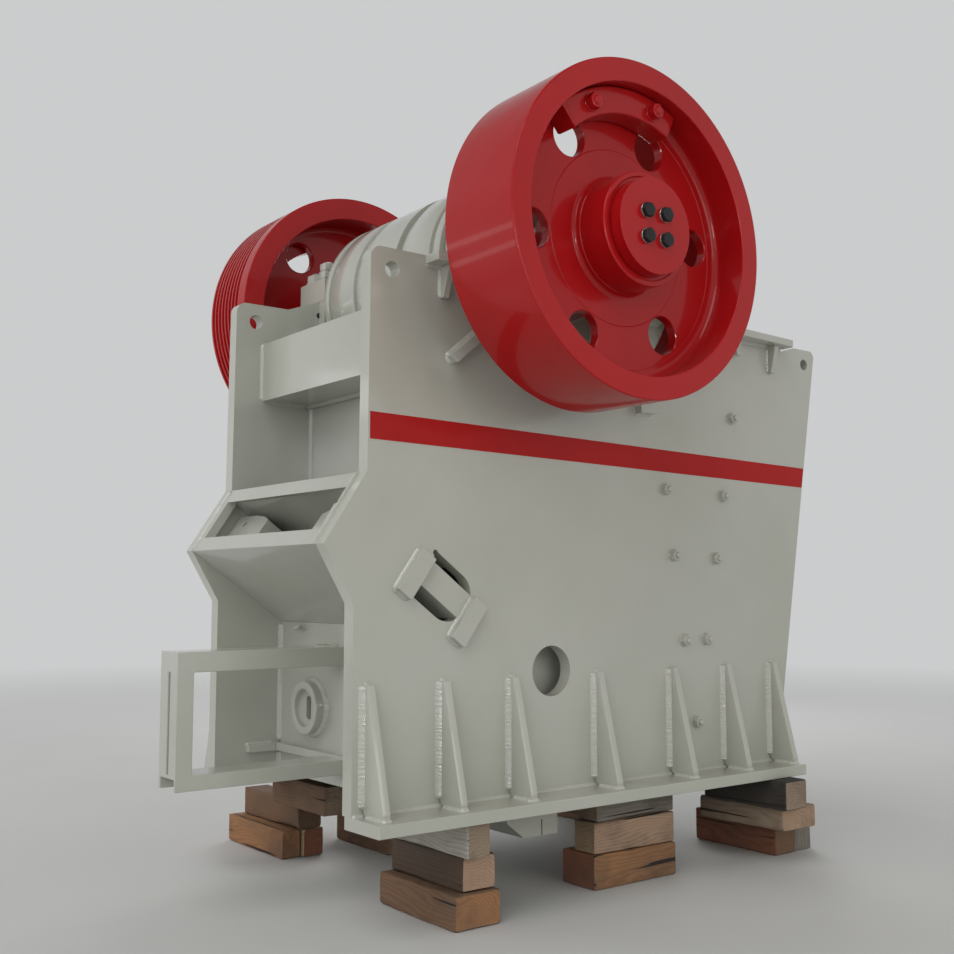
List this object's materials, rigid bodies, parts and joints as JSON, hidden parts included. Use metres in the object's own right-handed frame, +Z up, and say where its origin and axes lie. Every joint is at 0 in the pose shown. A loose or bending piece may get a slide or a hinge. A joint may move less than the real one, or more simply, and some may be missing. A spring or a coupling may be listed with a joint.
{
  "type": "jaw crusher",
  "caption": "Single-toggle jaw crusher with a welded plate frame, ribbed swing jaw, flywheel and grooved drive sheave, standing on timber cribbing.",
  "frame": {"origin": "centre of the footprint box on the floor under the timbers", "axes": "+X from the toggle end to the feed end, +Z up, Y along the eccentric shaft with the grooved sheave on +Y"},
  "size_m": [3.9341, 3.1806, 4.0209],
  "materials": {
    "pale_paint": "gloss",
    "red_paint": "gloss",
    "black_paint": "gloss",
    "machined_steel": "satin",
    "manganese_steel": "as cast",
    "timber": "sawn"
  },
  "bodies": {
    "frame": {"side_plate_left": "pale_paint", "side_plate_right": "pale_paint", "base_flange_left": "pale_paint", "base_flange_right": "pale_paint", "gussets_left": "pale_paint", "gussets_right": "pale_paint", "bearing_shelf_left": "pale_paint", "bearing_shelf_right": "pale_paint", "front_wall": "pale_paint", "front_ribs": "pale_paint", "front_stiffeners": "pale_paint", "lower_rear_wall": "pale_paint", "rear_ledges": "pale_paint", "rod_bosses": "pale_paint", "toggle_box": "pale_paint", "reaction_plate": "pale_paint", "upper_rear_wall": "pale_paint", "rear_beam": "pale_paint", "rear_bracket": "pale_paint", "bearing_housing_left": "pale_paint", "bearing_housing_right": "pale_paint", "bearing_cap_left": "pale_paint", "bearing_cap_right": "pale_paint", "fixed_die": "manganese_steel", "fixed_die_wedge": "pale_paint", "cheek_plate_left": "manganese_steel", "cheek_plate_right": "manganese_steel", "cheek_bolts": "pale_paint", "toggle_block": "pale_paint", "toggle_plate": "machined_steel", "adjusting_wedges": "pale_paint", "side_lugs": "pale_paint", "rear_timbers": "timber", "middle_timbers": "timber", "front_timbers": "timber"},
    "rotor": {"eccentric_shaft": "machined_steel", "flywheel": "red_paint", "drive_sheave": "red_paint", "counterweights": "red_paint", "hub_covers": "red_paint", "hub_bolts": "black_paint"},
    "jaw": {"swing_jaw": "pale_paint", "moving_die": "manganese_steel", "moving_die_wedge": "pale_paint"}
  },
  "joints": [
    {"name": "shaft_spin", "type": "hinge", "parent": "frame", "child": "rotor", "pos_m": [-0.32205, 0, 3.216], "axis": [0, 1, 0], "continuous": true},
    {"name": "jaw_on_eccentric", "type": "hinge", "parent": "rotor", "child": "jaw", "pos_m": [-0.32205, 0, 3.198], "axis": [0, 1, 0], "continuous": true}
  ],
  "couplings": [
    {"joint": "jaw_on_eccentric", "follows": "shaft_spin", "ratio": -1}
  ]
}
